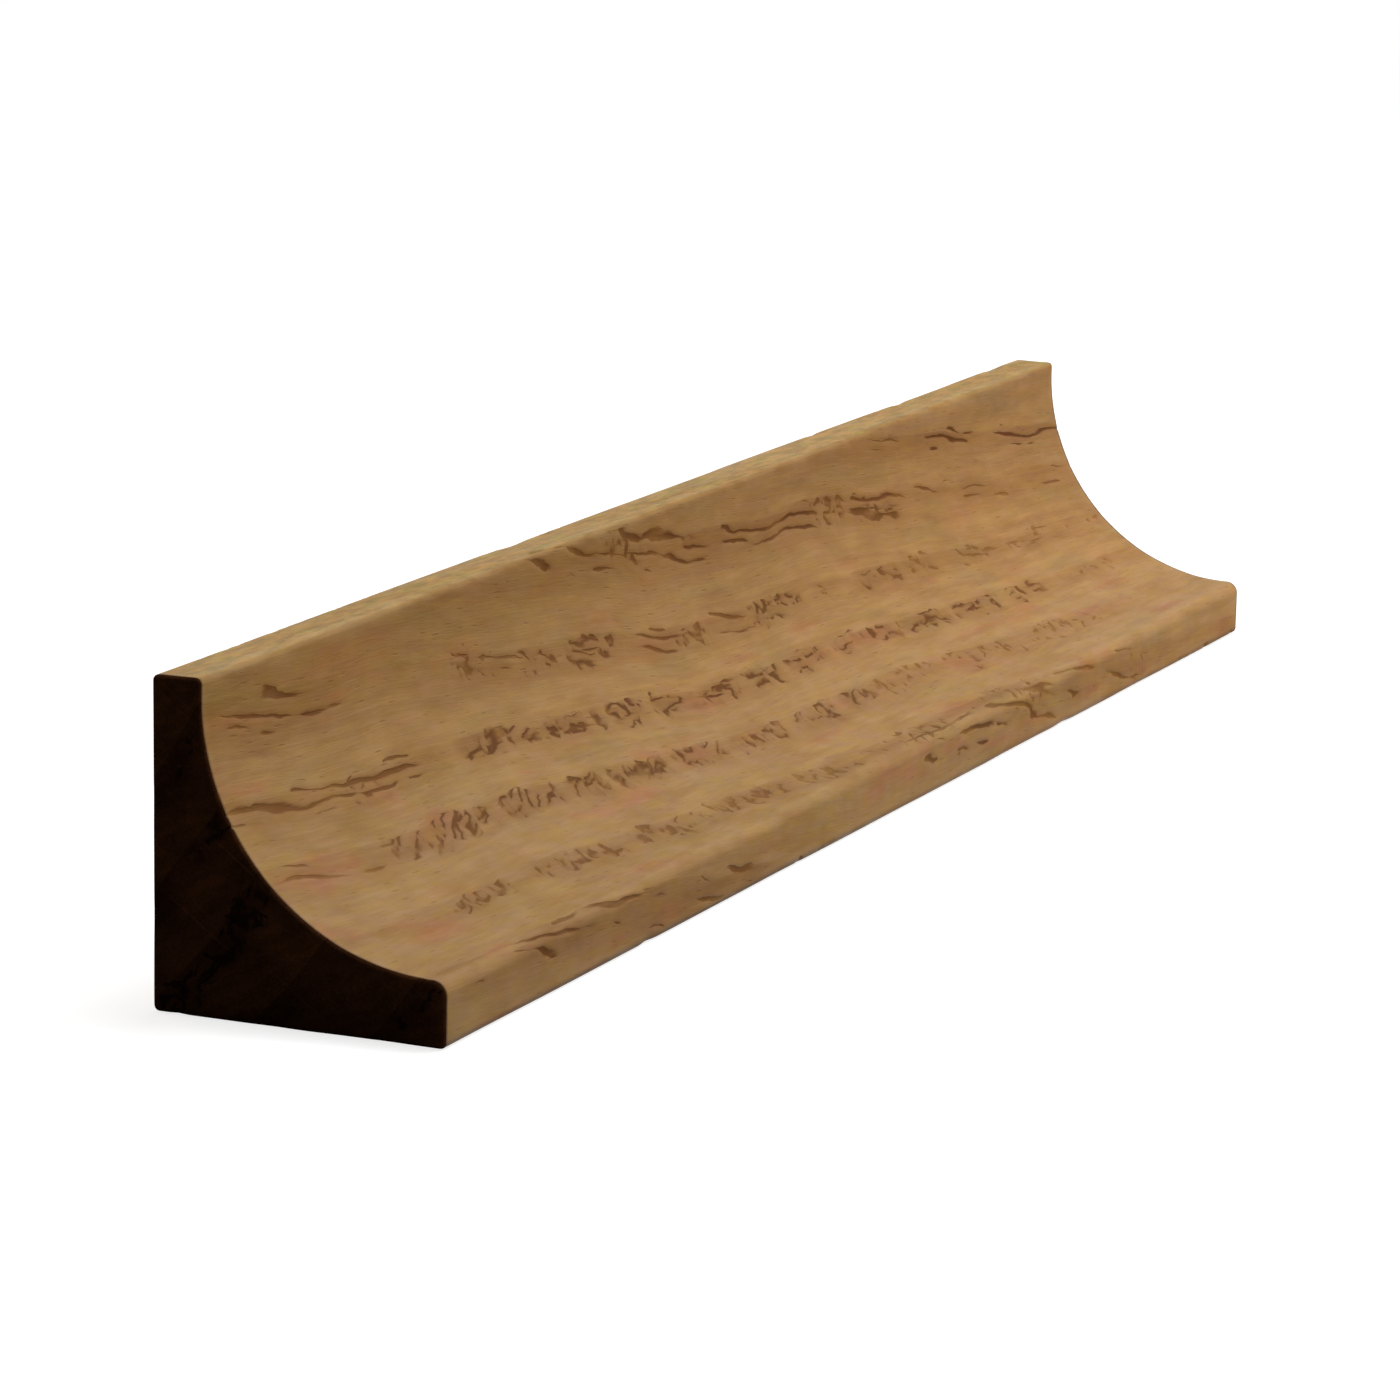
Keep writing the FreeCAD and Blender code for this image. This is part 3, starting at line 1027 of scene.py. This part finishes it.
# %% The floor's white, and the world
def seen_directly(recipe):
    """1 for rays from the camera and for reflected and refracted ones, 0 for bounced light."""
    path = recipe.node("ShaderNodeLightPath").outputs
    seen = recipe.calc("MAXIMUM", path["Is Camera Ray"], path["Is Glossy Ray"])
    return recipe.calc("MAXIMUM", seen, path["Is Transmission Ray"])


pure_white = (1, 1, 1, 1)
floor_glow = 0.78
floor_paint = (0.45, 0.42, 0.37, 1)
bounce_grey = (0.28, 0.28, 0.28, 1)
floor_fades = (0.16, 0.5)
soft_fill = 0.08

floor_material = bpy.data.materials.new("pale floor")
floor_material.use_nodes = True
floor_material.node_tree.nodes.clear()
ground = Recipe(floor_material.node_tree)
from_middle = ground.node("ShaderNodeTexCoord").outputs["Object"]
distance = ground.node("ShaderNodeVectorMath", {0: from_middle}, operation="LENGTH").outputs["Value"]
glow = ground.node("ShaderNodeEmission", {"Color": pure_white, "Strength": floor_glow}).outputs[0]
lit = ground.node("ShaderNodeBsdfDiffuse", {"Color": floor_paint}).outputs[0]
both = ground.node("ShaderNodeAddShader", {0: glow, 1: lit}).outputs[0]
white = ground.node("ShaderNodeEmission", {"Color": pure_white, "Strength": 1.0}).outputs[0]
far_away = ground.rise(distance, *floor_fades)
pale = ground.node("ShaderNodeMixShader", {0: far_away, 1: both, 2: white}).outputs[0]
bounced = ground.node("ShaderNodeBsdfDiffuse", {"Color": bounce_grey}).outputs[0]
shown = ground.node("ShaderNodeMixShader", {0: seen_directly(ground), 1: bounced, 2: pale}).outputs[0]
ground.node("ShaderNodeOutputMaterial", {0: shown})
floor_mesh.materials.append(floor_material)

world = bpy.data.worlds.new("white studio")
world.use_nodes = True
bpy.context.scene.world = world
air = Recipe(world.node_tree)
background = world.node_tree.nodes["Background"]
background.inputs["Color"].default_value = pure_white
air.feed(background.inputs["Strength"], air.line(seen_directly(air), 1 - soft_fill, soft_fill))
print("floor and world ready")

# %% [markdown]
# ## Lamps
#
# In the photograph the land and the foot of the cove are brightest, the lip and the wall of the cove are
# about half as bright, and the near end is almost black. The bright parts look cooler than the upright ones.
# So one large soft lamp, as cool as a cloudy sky, hangs above, in front and towards the far end, all of it
# beyond the near end's own plane. A smaller, warmer one stands low at the far right and lifts the lip and the
# wall. A weak lamp behind shows the back in other views.

# %% Soft lamps
stick_middle = Vector((0.0, 0.0, 0.01))
daylight = (0.93, 1.03, 1.21)
lamplight = (1.04, 0.87, 0.62)
warm_daylight = (1.0, 0.94, 0.88)
soft_lamps = [
    # name, place and size in metres, power in watts, tint
    ("key lamp", (0.22, -0.17, 0.72), 0.5, 5.2, daylight),
    ("far lamp", (0.19, -0.32, 0.12), 0.2, 0.58, lamplight),
    ("back lamp", (0.10, 0.60, 0.20), 0.4, 1.6, warm_daylight),
]
for name, lamp_place, size, power, tint in soft_lamps:
    lamp_data = bpy.data.lights.new(name, "AREA")
    lamp_data.shape = "SQUARE"
    lamp_data.size = size
    lamp_data.energy = power
    lamp_data.color = tint
    lamp = bpy.data.objects.new(name, lamp_data)
    bpy.context.scene.collection.objects.link(lamp)
    aim = stick_middle - Vector(lamp_place)
    lamp.location = lamp_place
    lamp.rotation_euler = aim.to_track_quat("-Z", "Y").to_euler()
    print(f"{name}: {aim.length:.2f} m away, light at the stick {power / (math.pi * aim.length) ** 2:.2f}")

# %% [markdown]
# ## Camera
#
# The camera was found by fitting the eight corners of the stick to the photograph. It looks along the length
# from the near left, a little above the cove, through a long lens.

# %% The camera at the photograph's angle
from mathutils import Matrix

camera_place = (-338.62, -145.90, 84.69)
lens_in_pixels = 5870.36
photo_width = 1400
sensor_width = 36
nearest_seen = 0.01
farthest_seen = 50
camera_turn = math.radians(24.052)
camera_tilt = math.radians(12.026)
camera_roll = math.radians(0.865)
facing = Matrix.Rotation(camera_turn - math.pi / 2, 4, "Z")
tilted = Matrix.Rotation(math.pi / 2 - camera_tilt, 4, "X")
rolled = Matrix.Rotation(camera_roll, 4, "Z")
camera_data = bpy.data.cameras.new("camera")
camera_data.sensor_width = sensor_width
camera_data.lens = lens_in_pixels / photo_width * sensor_width
camera_data.clip_start = nearest_seen
camera_data.clip_end = farthest_seen
camera = bpy.data.objects.new("camera", camera_data)
bpy.context.scene.collection.objects.link(camera)
placed = Matrix.Translation(Vector(camera_place) * millimetre)
camera.matrix_world = placed @ facing @ tilted @ rolled
bpy.context.scene.camera = camera
bpy.context.scene.view_settings.view_transform = "Standard"
print("lens", round(camera_data.lens, 1), "mm")
